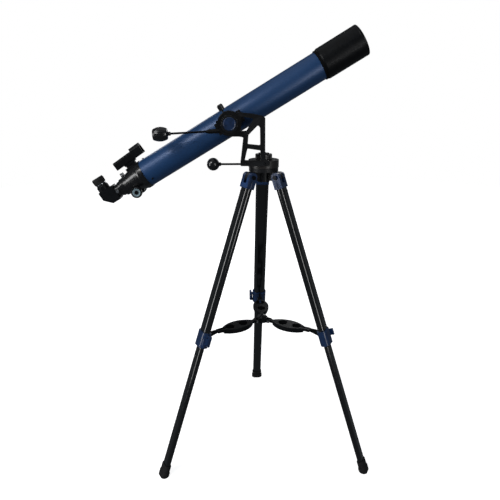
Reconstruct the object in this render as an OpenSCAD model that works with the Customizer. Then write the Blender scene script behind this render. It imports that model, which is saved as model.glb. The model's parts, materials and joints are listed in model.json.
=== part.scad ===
// Achromatic refracting telescope on a single-arm altazimuth mount with a folding three-leg tripod.
// Millimetres, +Z up. The origin is on the azimuth axis at floor level; the tube points to +X.

/* [Tripod] */
// Height of the leg pivots above the floor
pivot_z = 1006; // [960:1:1050]
// Distance of each leg pivot from the azimuth axis
pivot_r = 52; // [50:1:56]
// Distance of each foot from the azimuth axis
foot_r = 404; // [380:1:430]
// Width of an upper leg across its flat faces
upper_leg_w = 44; // [42:1:46]
// Depth of an upper leg, outward
upper_leg_d = 26; // [25:1:28]
// Width of a lower leg
lower_leg_w = 35; // [32:1:36]
// Depth of a lower leg
lower_leg_d = 18; // [16:1:19]
// Distance down a leg from its pivot to the bottom of the upper leg
upper_leg_end = 557; // [540:1:575]
// Angle that each leg folds inward
leg_fold = 16.5; // [14:0.5:17]

/* [Spreader tray] */
// Distance down a leg from its pivot to the tray arm pivot
tray_pivot_s = 527; // [520:1:535]
// Distance of that pivot inward from the leg centre line
tray_pivot_x = 49; // [46:1:52]
// Distance of the hub hinges from the azimuth axis
hub_hinge_r = 28; // [26:1:32]
// Radius of the eyepiece holes in the tray
eyepiece_hole_r = 16; // [15.9:0.1:16.5]
// Width of a tray leaf
leaf_w = 58; // [50:1:62]

/* [Mount] */
// Radius of the azimuth turntable
turntable_r = 49; // [48:1:52]
// Height of the top of the turntable
turntable_top = 1058; // [1056:1:1060]
// Thickness of the arm plate
arm_t = 14; // [10:1:16]
// Distance of the arm's far face from the azimuth axis, towards -Y
arm_back = 38; // [36:1:40]
// Distance of the altitude axis from the azimuth axis, towards -X
alt_x = 108; // [104:1:112]
// Height of the altitude axis
alt_z = 1173; // [1165:1:1180]
// Radius of the altitude housing
housing_r = 37; // [35:1:38]
// Radius of the altitude axle
axle_r = 8; // [7:0.5:9]

/* [Optical tube] */
// Elevation of the tube above the horizon
elevation = 30.7; // [0:0.1:60]
// Outer radius of the main tube
tube_r = 45; // [44:0.5:46]
// Main tube length behind the altitude axis
tube_rear = 323; // [300:1:340]
// Main tube length ahead of the altitude axis
tube_front = 330; // [310:1:350]
// Radius of the objective lenses
lens_r = 40; // [38:0.5:41]
// Outer radius of the dew shield
dew_r = 50.5; // [50:0.5:52]
// Front end of the dew shield, ahead of the altitude axis
dew_front = 478; // [460:1:490]
// Outer radius of the focuser drawtube
draw_r = 25; // [24:0.5:26]
// Radius of the focus knobs
focus_knob_r = 18.5; // [17:0.5:20]

/* [Hidden] */
$fn = 64;

// colours
black = "#15161a";
coal = "#26272b";
navy = "#1c3566";
blue = "#27518f";
steel = "#b9bcc0";
brass = "#c9a24b";
glass = "#9cc7d8";
rubber = "#0d0d0e";

// clearances
running = 0.05;   // radial play of a shaft in its bore
gap = 0.5;        // plain gap between neighbouring pieces

// tripod
left = 210;       // azimuth of each leg, counted from +X
right = 330;
rear = 90;
LEGS = [left, right, rear];
lean = atan((foot_r - pivot_r) / pivot_z);
leg_len = norm([foot_r - pivot_r, pivot_z]);
bolt_r = 4;
lug_t = 15;
lug_r = 14;
yoke_slot_floor = 22;
yoke_end = 38;
tube_wall = 1.6;
collar_w = 52;
collar_d = 34;
collar_top = 530;
collar_end = 582;
lower_leg_top = 497;
lower_leg_end = 1040;
lever_x = -5;
lever_y = 33;
lever_top = 541;
lever_h = 26;
tray_lug_t = 5.5;
leaf_tip = 13;
leaf_h = 10;
leaf_skin = 2.5;
hole_collar = 8;   // how far the skirt and the collars of the holes reach below the leaf's rim
skirt_step = 3;    // how far the skirt is set in below the rim
hole_spread = [-21, 31];
fork_w = 17;

// spreader tray, worked out from the leg's own geometry
tray_r = pivot_r - tray_pivot_x * cos(lean) + tray_pivot_s * sin(lean);
tray_z = pivot_z - tray_pivot_x * sin(lean) - tray_pivot_s * cos(lean);
pin_r = 2.5;

// azimuth stack
flange_bottom = 1022;
flange_top = 1034;
wheel_bottom = 1041;
wheel_top = 1053;
spindle_r = 8;
spindle_top = 1074;
worm_r = 6;
az_wheel_r = 21;
az_worm_y = -(az_wheel_r + worm_r + 0.3);
az_worm_z = (wheel_bottom + wheel_top) / 2;
rod_r = 3.2;
az_knob_x = -161;
az_knob_r = 20;
lock_knob_r = 27;

// altitude stack, along Y from the near side
housing_near = -60;
housing_far = -20;
alt_wheel_r = 14.5;
alt_worm_drop = alt_wheel_r + worm_r + 0.3;
alt_worm_y = -41;
alt_worm_tilt = 3;
saddle_near = -19.5;
saddle_far = -3;
clamp_y = -11;
saddle_l = 60;
saddle_w = 46;
bar_l = 92;

// optical tube, in the tube's own frame: X forward along the axis, Z away from the ground
skin = 1.2;
cell_r = 47.85;
cell_end = 362;
screw_r = 2.5;    // shaft of the small lock screws
focus_end = -414;
pinion_x = -375;
lock_x = -394;
knob_y = 37;
pinion_r = 5.5;
pinion_z = -(draw_r + 3 + pinion_r + 0.25);
socket_r = 15.9;
diag_x = -472;
eye_r = 20;
mirror_t = 4;

function unit(v) = v / norm(v);

// corners of an outline replaced by arcs of radius r
function rounded(points, r, steps = 6) = [
  for (i = [0 : len(points) - 1])
    let (
      count = len(points),
      corner = points[i],
      back = unit(points[(i + count - 1) % count] - corner),
      on = unit(points[(i + 1) % count] - corner),
      half = acos(back * on) / 2,
      centre = corner + unit(back + on) * r / sin(half),
      start = corner + back * r / tan(half) - centre,
      end = corner + on * r / tan(half) - centre,
      first = atan2(start[1], start[0]),
      turn = atan2(end[1], end[0]) - first,
      sweep = turn > 180 ? turn - 360 : (turn < -180 ? turn + 360 : turn)
    )
    for (k = [0 : steps])
      centre + r * [cos(first + sweep * k / steps), sin(first + sweep * k / steps)]
];

// a flat oval, long along Y
module oval(long, short) {
  square([short, long - short], center = true);
  for (side = [-1, 1]) translate([0, side * (long - short) / 2]) circle(d = short);
}

// an oval bar hanging from s1 down to s2 along a leg
module oval_bar(long, short, s1, s2) {
  translate([0, 0, -s2]) linear_extrude(s2 - s1) oval(long, short);
}

// a leg's own frame: its pivot at the origin, the leg along -Z, +X outward
module on_leg(azimuth) {
  rotate([0, 0, azimuth]) translate([pivot_r, 0, pivot_z]) rotate([0, -lean, 0]) children();
}

// the optical tube's own frame
module on_tube() {
  translate([-alt_x, tube_r, alt_z]) rotate([0, -elevation, 0]) children();
}

// a solid of revolution about X, from an outline of [x, radius] points
module turned_x(outline) {
  rotate([0, 90, 0]) rotate_extrude() polygon([for (p = outline) [p[1], p[0]]]);
}

// a cylinder along Y from y1 to y2
module rod_y(r, y1, y2) {
  translate([0, y1, 0]) rotate([-90, 0, 0]) cylinder(r = r, h = y2 - y1);
}

// a cylinder along X from x1 to x2
module rod_x(r, x1, x2) {
  translate([x1, 0, 0]) rotate([0, 90, 0]) cylinder(r = r, h = x2 - x1);
}

// a knob blank with finger scallops, standing on z = 0
module scalloped_knob(r, h, count, bite) {
  difference() {
    cylinder(r = r, h = h);
    for (i = [0 : count - 1])
      rotate([0, 0, 360 * (i + 0.5) / count]) translate([r + bite * 0.55, 0, -1]) cylinder(r = bite, h = h + 2, $fn = 24);
  }
}

// a flat gear blank with square-cut teeth, standing on z = 0
module toothed_wheel(tip, root, teeth, h) {
  linear_extrude(h)
    polygon([
      for (i = [0 : teeth - 1]) for (k = [0 : 3])
        let (r = k == 1 || k == 2 ? tip : root, a = 360 / teeth * (i + [0, 0.18, 0.42, 0.6][k]))
          r * [cos(a), sin(a)]
    ]);
}

// a worm along X, centred, drawn as rings of the thread's size
module worm_rings(length, pitch) {
  rod_x(worm_r - 1.6, -length / 2, length / 2);
  for (x = [-length / 2 + pitch : pitch : length / 2 - pitch])
    turned_x([[x - 0.9, worm_r - 2], [x - 0.4, worm_r], [x + 0.4, worm_r], [x + 0.9, worm_r - 2]]);
}

// ---------- tripod ----------

module tripod_head() {
  color(black) difference() {
    union() {
      translate([0, 0, flange_bottom]) cylinder(r = turntable_r - 1.5, h = flange_top - flange_bottom, $fn = 96);
      translate([0, 0, pivot_z - 18]) cylinder(r = 21, h = flange_bottom - pivot_z + 18);
      for (azimuth = LEGS) rotate([0, 0, azimuth]) {
        translate([14, -lug_t / 2, pivot_z - lug_r])
          cube([pivot_r - 14, lug_t, flange_bottom - pivot_z + lug_r]);
        translate([pivot_r, 0, pivot_z]) rod_y(lug_r, -lug_t / 2, lug_t / 2);
      }
    }
    for (azimuth = LEGS) rotate([0, 0, azimuth])
      translate([pivot_r, 0, pivot_z]) rod_y(bolt_r + running, -lug_t, lug_t);
    translate([0, 0, pivot_z - 20]) cylinder(r = spindle_r, h = 60);
    translate([0, 0, pivot_z - 20]) cylinder(r = 13, h = 14);
  }
}

module azimuth_wheel_spindle() {
  color(steel) {
    translate([0, 0, pivot_z - 18]) cylinder(r = 12.5, h = 12);
    translate([0, 0, pivot_z - 6]) cylinder(r = spindle_r, h = spindle_top - pivot_z + 6);
    translate([0, 0, flange_top]) cylinder(r = 14, h = wheel_bottom - flange_top);
    translate([0, 0, wheel_bottom]) toothed_wheel(az_wheel_r, az_wheel_r - 1.8, 48, wheel_top - wheel_bottom);
  }
}

module leg_pivot_bolts() {
  color(steel) for (azimuth = LEGS) rotate([0, 0, azimuth]) translate([pivot_r, 0, pivot_z]) {
    rod_y(bolt_r, -upper_leg_w / 2 - 3, upper_leg_w / 2 + 4);
    rod_y(7, upper_leg_w / 2 + 0.3, upper_leg_w / 2 + 4);
    translate([0, -upper_leg_w / 2 - 0.3, 0]) rotate([90, 0, 0]) cylinder(r = 7.5, h = 5, $fn = 6);
  }
}

module leg_yoke(azimuth) {
  color(blue) on_leg(azimuth) difference() {
    union() {
      rod_y(14.5, -upper_leg_w / 2, upper_leg_w / 2);
      translate([-14, -upper_leg_w / 2, -yoke_end]) cube([28, upper_leg_w, yoke_end]);
      oval_bar(upper_leg_w - 2 * tube_wall - 0.4, upper_leg_d - 2 * tube_wall - 0.4, yoke_end - 1, yoke_end + 34);
    }
    translate([-20, -lug_t / 2 - gap, -yoke_slot_floor]) cube([40, lug_t + 2 * gap, 50]);
    rod_y(bolt_r + running, -40, 40);
    translate([0, 0, -yoke_end - 40]) linear_extrude(44 + gap) oval(upper_leg_w - 16, upper_leg_d - 12);
    for (side = [-1, 1]) translate([0, side * (upper_leg_w / 2 + 2.2), -yoke_end + 2])
      cylinder(r = 4, h = 20, $fn = 32);
  }
}

module upper_leg(azimuth) {
  color(black) on_leg(azimuth) difference() {
    oval_bar(upper_leg_w, upper_leg_d, yoke_end, upper_leg_end);
    oval_bar(upper_leg_w - 2 * tube_wall, upper_leg_d - 2 * tube_wall, yoke_end - 5, upper_leg_end + 5);
  }
}

module leg_collar(azimuth) {
  color(blue) on_leg(azimuth) difference() {
    union() {
      oval_bar(collar_w, collar_d, collar_top, collar_end);
      // lug that the tray arm straddles
      translate([-tray_pivot_x, 0, -tray_pivot_s]) rod_y(5, -tray_lug_t / 2, tray_lug_t / 2);
      translate([0, tray_lug_t / 2, 0]) rotate([90, 0, 0]) linear_extrude(tray_lug_t)
        polygon([
          [-tray_pivot_x - 1, 5 - tray_pivot_s], [-tray_pivot_x + 12, 3 - tray_pivot_s], [-14, -collar_top - 2],
          [-14, -collar_top - 26], [-tray_pivot_x, -5 - tray_pivot_s]
        ]);
      // ears for the clamp lever
      for (z = [-lever_top + 0.5, -lever_top - lever_h - 4.5])
        translate([lever_x, 0, z]) {
          translate([0, lever_y, 0]) cylinder(r = 6, h = 4);
          translate([-6, collar_w / 2 - 6, 0]) cube([12, lever_y - collar_w / 2 + 6, 4]);
        }
    }
    translate([-tray_pivot_x, 0, -tray_pivot_s]) rod_y(pin_r + running, -10, 10);
    oval_bar(upper_leg_w, upper_leg_d, collar_top - 5, upper_leg_end);
    oval_bar(lower_leg_w + 0.8, lower_leg_d + 0.8, upper_leg_end - 5, collar_end + 5);
    translate([lever_x, lever_y, -collar_end]) cylinder(r = 2.5 + running, h = 60);
    // the split that the lever closes
    translate([lever_x - 1, collar_w / 2 - 12, -collar_end - 1]) cube([2, 14, collar_end - upper_leg_end - 2]);
  }
}

module lower_leg(azimuth) {
  color(black) on_leg(azimuth) difference() {
    oval_bar(lower_leg_w, lower_leg_d, lower_leg_top, lower_leg_end);
    oval_bar(lower_leg_w - 2 * tube_wall, lower_leg_d - 2 * tube_wall, lower_leg_top - 5, lower_leg_end + 5);
  }
}

module foot(azimuth) {
  color(rubber) difference() {
    intersection() {
      on_leg(azimuth) union() {
        oval_bar(lower_leg_w + 6, lower_leg_d + 6, lower_leg_end - 16, leg_len + 30);
        oval_bar(lower_leg_w + 10, lower_leg_d + 10, leg_len - 16, leg_len + 30);
      }
      translate([-600, -600, 0]) cube([1200, 1200, 200]);
    }
    on_leg(azimuth) oval_bar(lower_leg_w, lower_leg_d, lower_leg_end - 40, lower_leg_end);
  }
}

module leg_lever(azimuth) {
  color(blue) on_leg(azimuth) translate([lever_x, lever_y, -lever_top - lever_h]) {
    difference() {
      union() {
        cylinder(r = 6, h = lever_h);
        translate([0, -2.5, 2]) cube([22, 8, lever_h - 4]);
        translate([22, 1.5, 2]) cylinder(r = 4, h = lever_h - 4, $fn = 32);
      }
      translate([8, 3.5, -1]) cube([12, 4, lever_h + 2]);
    }
    translate([0, 0, -6]) cylinder(r = 2.5, h = lever_h + 12, $fn = 32);
  }
}

// ---------- spreader tray ----------

// one tray arm along +X from the hub hinge to the leg pivot, at its hinge height
module tray_arm(azimuth) {
  leaf_start = hub_hinge_r + 8;
  leaf_end = tray_r - leaf_tip;
  half = (leaf_end - leaf_start) / 2;
  mid = (leaf_end + leaf_start) / 2;
  arc = (half * half + leaf_w * leaf_w / 4) / leaf_w;
  holes = [for (x = hole_spread) mid + x];
  skirt_z = -leaf_h / 2 - hole_collar;
  // the pointed oval between two arcs, drawn in by an inset
  module leaf(inset) {
    intersection_for(side = [-1, 1])
      translate([mid, side * (arc - leaf_w / 2)]) circle(r = arc - inset, $fn = 160);
  }
  color(black) rotate([0, 0, azimuth]) translate([0, 0, tray_z]) difference() {
    union() {
      difference() {
        union() {
          translate([0, 0, -leaf_h / 2]) linear_extrude(leaf_h) leaf(0);
          translate([0, 0, skirt_z]) linear_extrude(hole_collar + 1) leaf(skirt_step);
        }
        // hollow below, inside the skirt
        translate([0, 0, skirt_z - 1]) linear_extrude(leaf_h / 2 - leaf_skin - skirt_z + 1) difference() {
          leaf(skirt_step + leaf_skin);
          translate([mid, 0]) square([2 * half, 4], center = true);
          translate([leaf_start, 0]) circle(r = 14);
          translate([leaf_end, 0]) circle(r = 22);
        }
      }
      for (x = holes) translate([x, 0, skirt_z])
        cylinder(r = eyepiece_hole_r + 3, h = leaf_h + hole_collar, $fn = 96);
      translate([hub_hinge_r, -6, -leaf_h / 2]) cube([16, 12, leaf_h]);
      translate([hub_hinge_r, 0, 0]) rod_y(leaf_h / 2, -6, 6);
      translate([leaf_end - 20, -fork_w / 2, -leaf_h / 2]) cube([leaf_tip + 20, fork_w, leaf_h]);
      translate([tray_r, 0, 0]) rod_y(leaf_h / 2, -fork_w / 2, fork_w / 2);
    }
    // slot that clears the leg's lug through the fold
    translate([holes[1], -tray_lug_t / 2 - gap, -20]) cube([80, tray_lug_t + 2 * gap, 40]);
    for (x = holes) translate([x, 0, -30]) cylinder(r = eyepiece_hole_r, h = 50, $fn = 96);
    for (x = [hub_hinge_r, tray_r]) translate([x, 0, 0]) rod_y(pin_r + running, -20, 20);
  }
}

module tray_hub() {
  color(black) translate([0, 0, tray_z]) difference() {
    union() {
      translate([0, 0, -8]) cylinder(r = 19, h = 16);
      translate([0, 0, 8]) cylinder(r1 = 14, r2 = 11, h = 4);
      for (azimuth = LEGS) rotate([0, 0, azimuth]) for (side = [-1, 1]) {
        translate([12, side * 9 - 2.5, -5.5]) cube([hub_hinge_r - 12, 5, 11]);
        translate([hub_hinge_r, side * 9, 0]) rod_y(5.5, -2.5, 2.5);
      }
    }
    for (azimuth = LEGS) rotate([0, 0, azimuth]) {
      translate([19 - 1, -6.5, -20]) cube([30, 13, 40]);
      translate([hub_hinge_r, 0, 0]) rod_y(pin_r, -20, 20);
    }
    translate([0, 0, -20]) cylinder(r = 5, h = 40);
  }
}

module tray_hinge_pins() {
  color(steel) translate([0, 0, tray_z]) {
    for (azimuth = LEGS) rotate([0, 0, azimuth]) translate([hub_hinge_r, 0, 0]) {
      rod_y(pin_r, -12.5, 12.5);
      for (side = [-1, 1]) rod_y(4, side == 1 ? 11.5 : -13, side == 1 ? 13 : -11.5);
    }
  }
}

// ---------- altazimuth mount ----------

module turntable() {
  color(coal) difference() {
    translate([0, 0, flange_top + gap]) cylinder(r = turntable_r, h = turntable_top - flange_top - gap, $fn = 96);
    // chamber for the worm wheel, open below
    translate([0, 0, flange_top - 1]) cylinder(r = az_wheel_r + 2, h = wheel_top - flange_top + 1.5);
    cylinder(r = spindle_r + running, h = 1100);
    // tunnel for the worm
    translate([0, az_worm_y, az_worm_z]) rod_x(worm_r + 0.5, -60, 24);
    translate([0, az_worm_y, az_worm_z]) rod_x(rod_r + running, -70, 36);
    // flat that the arm's foot bolts to
    translate([-70, -70, az_worm_z - 3]) cube([86, 70 - arm_back, 60]);
  }
}

// outline of the arm in its own plane, as [x, z] points
module arm_outline() {
  outer = [
    [-75, 1044], [14, 1044], [14, 1060], [2, 1064], [1, 1190], [-9, 1196], [-40, 1202], [-80, 1206],
    [-108, 1190], [-108, 1134], [-80, 1134], [-66, 1132], [-75, 1056]
  ];
  upper_window = [[-21, 1168], [-14.5, 1160], [-13.5, 1107], [-52.5, 1111], [-50, 1139]];
  lower_window = [[-53.5, 1098], [-13, 1092], [-11.5, 1061], [-62, 1061]];
  top_window = [[-73, 1194], [-34, 1187], [-56, 1151], [-73, 1150]];
  difference() {
    polygon(rounded(outer, 4));
    for (window = [upper_window, lower_window, top_window]) polygon(rounded(window, 3.5));
    translate([-alt_x, alt_z]) circle(r = housing_r, $fn = 96);
  }
}

module mount_arm() {
  color(black) difference() {
    union() {
      translate([0, -arm_back, 0]) rotate([90, 0, 0]) linear_extrude(arm_t) arm_outline();
      // outrigger that carries the azimuth worm shaft
      translate([-75, -arm_back - 1, 1044]) difference() {
        cube([24, 21, 14]);
        translate([75, 0, -1044]) cylinder(r = turntable_r + 0.3, h = 1100, $fn = 96);
      }
    }
    translate([0, az_worm_y, az_worm_z]) rod_x(rod_r + running, -90, -40);
  }
}

// the altitude worm's own frame: X along its shaft
module on_alt_worm() {
  translate([-alt_x, alt_worm_y, alt_z]) rotate([0, -alt_worm_tilt, 0]) translate([0, 0, -alt_worm_drop]) children();
}

module altitude_housing() {
  color(black) difference() {
    union() {
      translate([-alt_x, 0, alt_z]) {
        rod_y(housing_r, housing_near + 3, housing_far);
        rod_y(housing_r - 3, housing_near, housing_near + 4);
        translate([-housing_r - 4, alt_worm_y + 1, -7]) cube([12, 16, 14]);
      }
      // sleeve of the worm shaft, in two steps
      on_alt_worm() {
        rod_x(7, -66, -26);
        rod_x(5, -72, -62);
      }
    }
    translate([-alt_x, 0, alt_z]) {
      rod_y(axle_r + running, -80, 0);
      rod_y(alt_wheel_r + 1, -49, -28);
    }
    on_alt_worm() {
      rod_x(worm_r + 0.5, -20, 20);
      rod_x(rod_r + running, -90, 26);
    }
  }
}

module azimuth_lock_knob() {
  color(coal) translate([0, 0, turntable_top + 0.4]) difference() {
    union() {
      scalloped_knob(lock_knob_r, 17, 14, 3.2);
      translate([0, 0, 17]) cylinder(r1 = 20, r2 = 18, h = 3);
    }
    translate([0, 0, -1]) cylinder(r = spindle_r + running, h = spindle_top - turntable_top + 1);
  }
}

module azimuth_worm_shaft() {
  color(steel) translate([0, az_worm_y, az_worm_z]) {
    worm_rings(34, 3.6);
    rod_x(rod_r, az_knob_x + 12, 34);
  }
}

module azimuth_knob() {
  color(black) translate([az_knob_x, az_worm_y, az_worm_z]) difference() {
    union() {
      sphere(r = az_knob_r, $fn = 64);
      rod_x(5.5, 10, 25);
    }
    rod_x(rod_r, 12, 40);
  }
}

module altitude_worm_shaft() {
  color(steel) on_alt_worm() {
    worm_rings(34, 3.6);
    rod_x(rod_r, -200, 24);
  }
}

module altitude_knob() {
  color(black) on_alt_worm() difference() {
    union() {
      rotate([0, 90, 0]) translate([0, 0, -214]) rotate_extrude() intersection() {
        translate([-18, 0]) circle(r = 40, $fn = 96);
        translate([0, -22.5]) square([30, 45]);
      }
      rod_x(6, -194, -182);
    }
    rod_x(rod_r, -200, -150);
  }
}

module altitude_clutch_knob() {
  color(black) translate([-alt_x, 0, alt_z]) difference() {
    union() {
      translate([0, housing_near - 0.4, 0]) rotate([90, 0, 0]) scalloped_knob(27, 10, 24, 1.8);
      rod_y(24, housing_near - 12.4, housing_near - 9.4);
    }
    rod_y(axle_r + running, housing_near - 8, housing_near + 5);
    rod_y(20, housing_near - 13, housing_near - 9.4);
  }
}

module clutch_knob_cap() {
  color(blue) translate([-alt_x, housing_near - 9.4, alt_z]) rotate([90, 0, 0]) {
    cylinder(r = 19.9, h = 3);
    translate([0, 0, 3]) cylinder(r1 = 19.9, r2 = 17.5, h = 2);
  }
}

// ---------- altitude axle, saddle and clamp ----------

module altitude_axle() {
  color(steel) translate([-alt_x, 0, alt_z]) rod_y(axle_r, housing_near - 7.5, saddle_near + 4);
}

module altitude_worm_wheel() {
  color(brass) translate([-alt_x, alt_worm_y + 5, alt_z]) rotate([90, 0, 0]) difference() {
    toothed_wheel(alt_wheel_r, alt_wheel_r - 1.6, 36, 10);
    translate([0, 0, -1]) cylinder(r = axle_r, h = 12);
  }
}

// the channel of the dovetail, as an outline across the tube: [y, z]
function dovetail(half_out, half_in, y1, y2) = [
  [y1, half_out], [y1, -half_out], [y2, -half_in], [y2, half_in]
];

module dovetail_saddle() {
  color(black) on_tube() translate([0, -tube_r, 0]) difference() {
    union() {
      rod_y(27, saddle_near, saddle_near + 6);
      translate([-saddle_l / 2, saddle_near + 5, -saddle_w / 2]) cube([saddle_l, saddle_far - saddle_near - 5, saddle_w]);
    }
    rod_y(axle_r, -40, saddle_near + 4);
    rotate([90, 0, 90]) translate([0, 0, -50]) linear_extrude(100)
      polygon(dovetail(19.5, 16, saddle_near + 8, 6));
    translate([0, clamp_y, 0]) cylinder(r = 3 + running, h = 40);
  }
}

module dovetail_bar() {
  color(black) on_tube() difference() {
    translate([0, -tube_r, 0]) rotate([90, 0, 90]) translate([0, 0, -bar_l / 2]) linear_extrude(bar_l)
      polygon(dovetail(19.2, 15.9, saddle_near + 8, 6));
    rod_x(tube_r, -80, 80);
  }
}

module saddle_clamp_knob() {
  color(black) on_tube() translate([0, -tube_r + clamp_y, 0]) {
    translate([0, 0, 19.4]) cylinder(r = 3, h = 26);
    translate([0, 0, 43.5]) scalloped_knob(9.5, 17, 10, 1.6);
    translate([0, 0, 60.5]) cylinder(r1 = 8, r2 = 6.5, h = 2.5);
  }
}

// ---------- optical tube ----------

module main_tube() {
  color(navy) on_tube() turned_x([
    [-tube_rear, tube_r - skin], [-tube_rear, tube_r], [tube_front, tube_r], [tube_front, tube_r - skin]
  ]);
}

module tube_baffles() {
  // each ring narrows with the light cone
  color(black) on_tube() for (x = [-150, 0, 150])
    turned_x([
      [x, 22 + (x + tube_rear) * 0.028], [x, tube_r - skin], [x + 8, tube_r - skin],
      [x + 8, tube_r - skin - 1], [x + 1, tube_r - skin - 1], [x + 1, 22 + (x + tube_rear) * 0.028]
    ]);
}

module objective_cell() {
  color(black) on_tube() turned_x([
    [tube_front - 18, lens_r - 3], [tube_front - 18, tube_r - skin], [tube_front, tube_r - skin],
    [tube_front, cell_r], [cell_end, cell_r], [cell_end, lens_r + 0.1],
    [tube_front + 6, lens_r + 0.1], [tube_front + 6, lens_r - 3]
  ]);
}

// depth of a spherical surface of radius R at a distance r from its axis
function sag(r, R) = R - sqrt(R * R - r * r);

// a biconvex crown ahead of a meniscus flint, with a thin air gap between them
module objective_lenses() {
  flint_rear = tube_front + 6;
  rings = [0 : 8 : lens_r];
  back_rings = [lens_r : -8 : 0];
  color(glass) on_tube() {
    turned_x(concat(
      [for (r = rings) [flint_rear + sag(r, 900), r]],
      [for (r = back_rings) [flint_rear + 5 + sag(r, 240), r]]
    ));
    turned_x(concat(
      [for (r = rings) [flint_rear + 5.5 + sag(r, 240), r]],
      [for (r = back_rings) [flint_rear + 16 - sag(r, 500), r]]
    ));
  }
}

module lens_retaining_ring() {
  color(black) on_tube() turned_x([
    [cell_end - 6, lens_r - 2], [cell_end - 6, lens_r], [cell_end - 1, lens_r], [cell_end - 1, lens_r - 2]
  ]);
}

module dew_shield() {
  wall = 1.6;
  color(black) on_tube() turned_x([
    [tube_front + 8, cell_r], [tube_front + 8, dew_r - 1.6], [tube_front + 11, dew_r], [dew_front - 5, dew_r],
    [dew_front - 2, dew_r - 0.6], [dew_front, dew_r - 1.6],
    [dew_front, dew_r - wall - 1.2], [cell_end + 2, dew_r - wall - 0.9], [cell_end, cell_r]
  ]);
}

// ---------- focuser, diagonal and eyepiece ----------

module focuser_body() {
  color(black) on_tube() difference() {
    union() {
      turned_x([
        [focus_end, 0], [focus_end, 28.5], [focus_end + 2, 30], [focus_end + 12, 30], [focus_end + 14, 31],
        [-345, 44], [-338, 47], [-tube_rear, 47], [-tube_rear, tube_r - skin], [-tube_rear + 16, tube_r - skin],
        [-tube_rear + 16, 0]
      ]);
      // housing of the pinion
      translate([pinion_x - 15, -17, pinion_z - 9]) cube([34, 34, 24]);
      translate([pinion_x, 0, pinion_z]) rod_y(10, -20, 20);
      // pad for the lock screw, on top
      translate([lock_x, 0, 20]) cylinder(r = 7, h = 15);
    }
    rod_x(draw_r + 0.25, focus_end - 5, -300);
    // relief for the rack
    translate([focus_end - 5, -5.5, -draw_r - 3.4]) cube([140, 11, 20]);
    turned_x([
      [-tube_rear - 9, 0], [-tube_rear - 9, 30], [-tube_rear + 4, tube_r - skin - 3],
      [-tube_rear + 20, tube_r - skin - 3], [-tube_rear + 20, 0]
    ]);
    translate([pinion_x, 0, pinion_z]) {
      rod_y(pinion_r + 0.7, -6.5, 6.5);
      rod_y(2.5 + running, -30, 30);
      // room for the knobs' hubs
      for (y = [-60, 20.2]) rod_y(8, y, y + 39.8);
    }
    translate([lock_x, 0, 10]) cylinder(r = screw_r + running, h = 40);
  }
}

module drawtube() {
  color(steel) on_tube() difference() {
    union() {
      rod_x(draw_r, focus_end - 10, -300);
      translate([focus_end + 2, -5, -draw_r - 3]) cube([110, 10, 6]);
      // collar that takes the diagonal
      turned_x([
        [focus_end - 24, 0], [focus_end - 24, 20.5], [focus_end - 22.5, 22], [focus_end - 12, 22],
        [focus_end - 8, draw_r], [focus_end - 8, 0]
      ]);
    }
    // rack teeth
    for (x = [focus_end + 4 : 3.14 : focus_end + 108])
      translate([x, -6, -draw_r - 4]) cube([1.5, 12, 2.6]);
    rod_x(draw_r - 1.6, focus_end - 4, -290);
    rod_x(socket_r, focus_end - 30, -300);
    for (side = [-1, 1]) rotate([side * 90, 0, 0]) translate([focus_end - 17, 0, 10]) cylinder(r = 2, h = 20);
  }
}

module drawtube_thumb_screws() {
  color(steel) on_tube() for (side = [-1, 1]) rotate([side * 90, 0, 0]) translate([focus_end - 17, 0, 0]) {
    translate([0, 0, 16.2]) cylinder(r = 2, h = 10);
    translate([0, 0, 24]) scalloped_knob(5, 7, 8, 1.1);
  }
}

module pinion_shaft() {
  color(steel) on_tube() translate([pinion_x, 0, pinion_z]) {
    rod_y(2.5, -knob_y - 9, knob_y + 9);
    translate([0, 6, 0]) rotate([90, 0, 0]) toothed_wheel(pinion_r, pinion_r - 1.8, 12, 12);
  }
}

module focus_knobs() {
  color(black) on_tube() translate([pinion_x, 0, pinion_z]) for (side = [-1, 1]) rotate([side * 90, 0, 0])
    difference() {
      union() {
        translate([0, 0, 20.5]) cylinder(r = 7, h = knob_y - 20);
        translate([0, 0, knob_y]) scalloped_knob(focus_knob_r, 11, 28, 1.3);
        translate([0, 0, knob_y + 11]) cylinder(r1 = focus_knob_r - 1.5, r2 = focus_knob_r - 2.5, h = 1.5);
      }
      translate([0, 0, 19]) cylinder(r = 2.5, h = knob_y - 10);
      translate([0, 0, knob_y + 11.5]) cylinder(r = focus_knob_r - 4.2, h = 2);
    }
}

module focus_lock_screw() {
  color(steel) on_tube() translate([lock_x, 0, 0]) {
    translate([0, 0, draw_r + 0.6]) cylinder(r = screw_r, h = 12);
    translate([0, 0, 35.5]) scalloped_knob(6.5, 7, 10, 1.2);
  }
}

module diagonal_body() {
  half = 26;
  mouth = focus_end - 24.3;
  color(black) on_tube() difference() {
    union() {
      // nosepiece in the drawtube
      rod_x(socket_r - running, mouth - 2, mouth + 26);
      // box with its back corner cut at 45 degrees
      rotate([90, 0, 0]) translate([0, 0, -20]) linear_extrude(40) polygon(rounded([
        [mouth, -half], [mouth, half], [diag_x - 20, half], [diag_x - 20, -2], [diag_x + 4, -half]
      ], 2));
      translate([diag_x, 0, half]) cylinder(r = eye_r, h = 14);
      translate([diag_x, 0, half + 14]) cylinder(r1 = eye_r, r2 = eye_r - 1.5, h = 2);
    }
    // light path
    rod_x(13.5, diag_x, mouth + 40);
    translate([diag_x, 0, -2]) cylinder(r = socket_r, h = 60);
    // seat of the mirror, and the room in front of it
    translate([diag_x, 0, 0]) rotate([0, 45, 0]) translate([-18, -15, -mirror_t]) cube([36, 30, mirror_t]);
    translate([diag_x, 0, 0]) rotate([0, 45, 0]) translate([-14, -14, -1]) cube([28, 28, 12]);
  }
}

module diagonal_mirror() {
  color(steel) on_tube() translate([diag_x, 0, 0]) rotate([0, 45, 0])
    translate([-18, -15, -mirror_t]) cube([36, 30, mirror_t]);
}

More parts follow.
